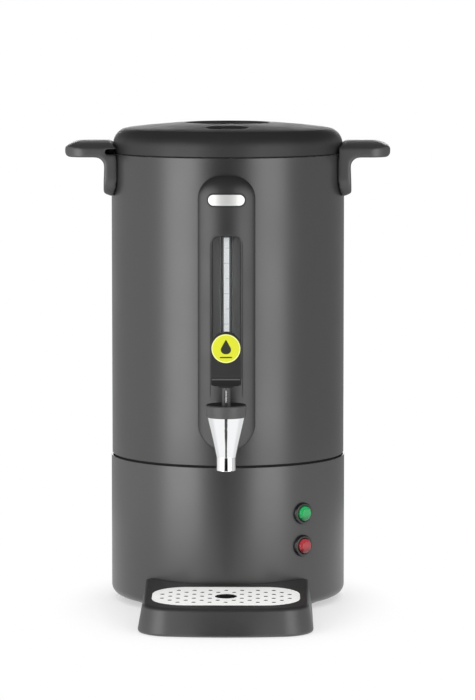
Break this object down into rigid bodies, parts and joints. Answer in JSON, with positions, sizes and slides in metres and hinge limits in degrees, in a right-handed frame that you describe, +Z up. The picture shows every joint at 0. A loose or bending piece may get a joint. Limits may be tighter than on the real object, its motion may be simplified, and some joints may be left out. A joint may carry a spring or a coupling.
{
  "type": "coffee urn",
  "caption": "Tall cylindrical percolator coffee urn with a bayonet lid, side handles, a sight tube, a lever tap, push buttons and a drip tray with a perforated grid.",
  "frame": {"origin": "on the floor, on the urn's axis, at the middle of the foot ring", "axes": "+Z up along the urn's axis; the tap and the tray face -Y; +X is to the right as seen from the front"},
  "size_m": [0.306, 0.3423, 0.4525],
  "materials": {
    "painted_steel": "matt dark grey coat with a fine orange-peel grain",
    "black_plastic": "satin black moulding",
    "gloss_black": "glossy black moulding",
    "stainless": "plain stainless sheet",
    "zinc_steel": "zinc plated",
    "element_metal": "dull cast metal",
    "bright_chrome": "polished chrome plate",
    "foot_rubber": "matt black rubber",
    "silicone": "translucent off-white silicone",
    "clear_tube": "clear tube",
    "ceramic": "cream heat-proof moulding",
    "green_lens": "clear green lens",
    "red_lens": "clear red lens"
  },
  "bodies": {
    "urn": {"foot_ring": "foot_rubber", "base_plate": "zinc_steel", "base_shell": "painted_steel", "seam_ring": "black_plastic", "jacket": "painted_steel", "vessel": "stainless", "tie_rods": "zinc_steel", "tie_nuts": "zinc_steel", "brew_heater": "element_metal", "warm_heater": "element_metal", "thermostat": "ceramic", "thermal_cutout": "ceramic", "terminal_block": "ceramic", "cord_gland": "black_plastic", "gland_nut": "black_plastic", "pump_tube": "stainless", "coffee_basket": "stainless", "spreader": "stainless", "left_handle": "black_plastic", "right_handle": "black_plastic", "handle_screws": "zinc_steel", "front_column": "black_plastic", "column_screws": "zinc_steel", "badge_plate": "bright_chrome", "sight_tube": "clear_tube", "tube_seals": "silicone", "tube_cap": "black_plastic", "tap_shank": "bright_chrome", "shank_nut": "bright_chrome", "shank_washers": "silicone", "tap_spout": "bright_chrome", "tap_collar": "black_plastic", "stem_spring": "zinc_steel", "green_bezel": "gloss_black", "red_bezel": "gloss_black", "bezel_nuts": "gloss_black", "switch_bodies": "black_plastic"},
    "stem": {"valve_stem": "bright_chrome", "seat_cup": "silicone"},
    "lever": {"tap_lever": "black_plastic", "lever_pin": "bright_chrome"},
    "lid_seal": {"lid_gasket": "silicone"},
    "lid_cover": {"lid": "black_plastic"},
    "green_cap": {"green_button": "green_lens"},
    "red_cap": {"red_button": "red_lens"},
    "tray": {"drip_tray": "black_plastic"},
    "grid": {"drip_grid": "stainless"}
  },
  "joints": [
    {"name": "stem_lift", "type": "slide", "parent": "urn", "child": "stem", "axis": [0, 0, 1], "range_m": [0, 0.0027], "deforming": ["stem_spring"]},
    {"name": "lever_tilt", "type": "hinge", "parent": "stem", "child": "lever", "pos_m": [0, -0.145, 0.2203], "axis": [1, 0, 0], "range_deg": [0, 30], "stiffness_Nm_per_rad": 0.012, "springref_deg": -45.84},
    {"name": "lid_lift", "type": "slide", "parent": "urn", "child": "lid_seal", "axis": [0, 0, 1], "range_m": [0, 0.12]},
    {"name": "lid_turn", "type": "hinge", "parent": "lid_seal", "child": "lid_cover", "pos_m": [0, 0, 0.4243], "axis": [0, 0, 1], "range_deg": [0, 30]},
    {"name": "green_press", "type": "slide", "parent": "urn", "child": "green_cap", "axis": [-0.6347, 0.7727, 0], "range_m": [0, 0.0025], "stiffness_N_per_m": 400, "springref_m": -0.003},
    {"name": "red_press", "type": "slide", "parent": "urn", "child": "red_cap", "axis": [-0.6347, 0.7727, 0], "range_m": [0, 0.0025], "stiffness_N_per_m": 400, "springref_m": -0.003},
    {"name": "tray_slide", "type": "slide", "parent": "urn", "child": "tray", "axis": [0, -1, 0], "range_m": [0, 0.12]},
    {"name": "grid_lift", "type": "slide", "parent": "tray", "child": "grid", "axis": [0, -0.0385, 0.9993], "range_m": [0, 0.04]}
  ],
  "couplings": [
    {"joint": "stem_lift", "follows": "lever_tilt", "m_per_rad": 0.005}
  ]
}
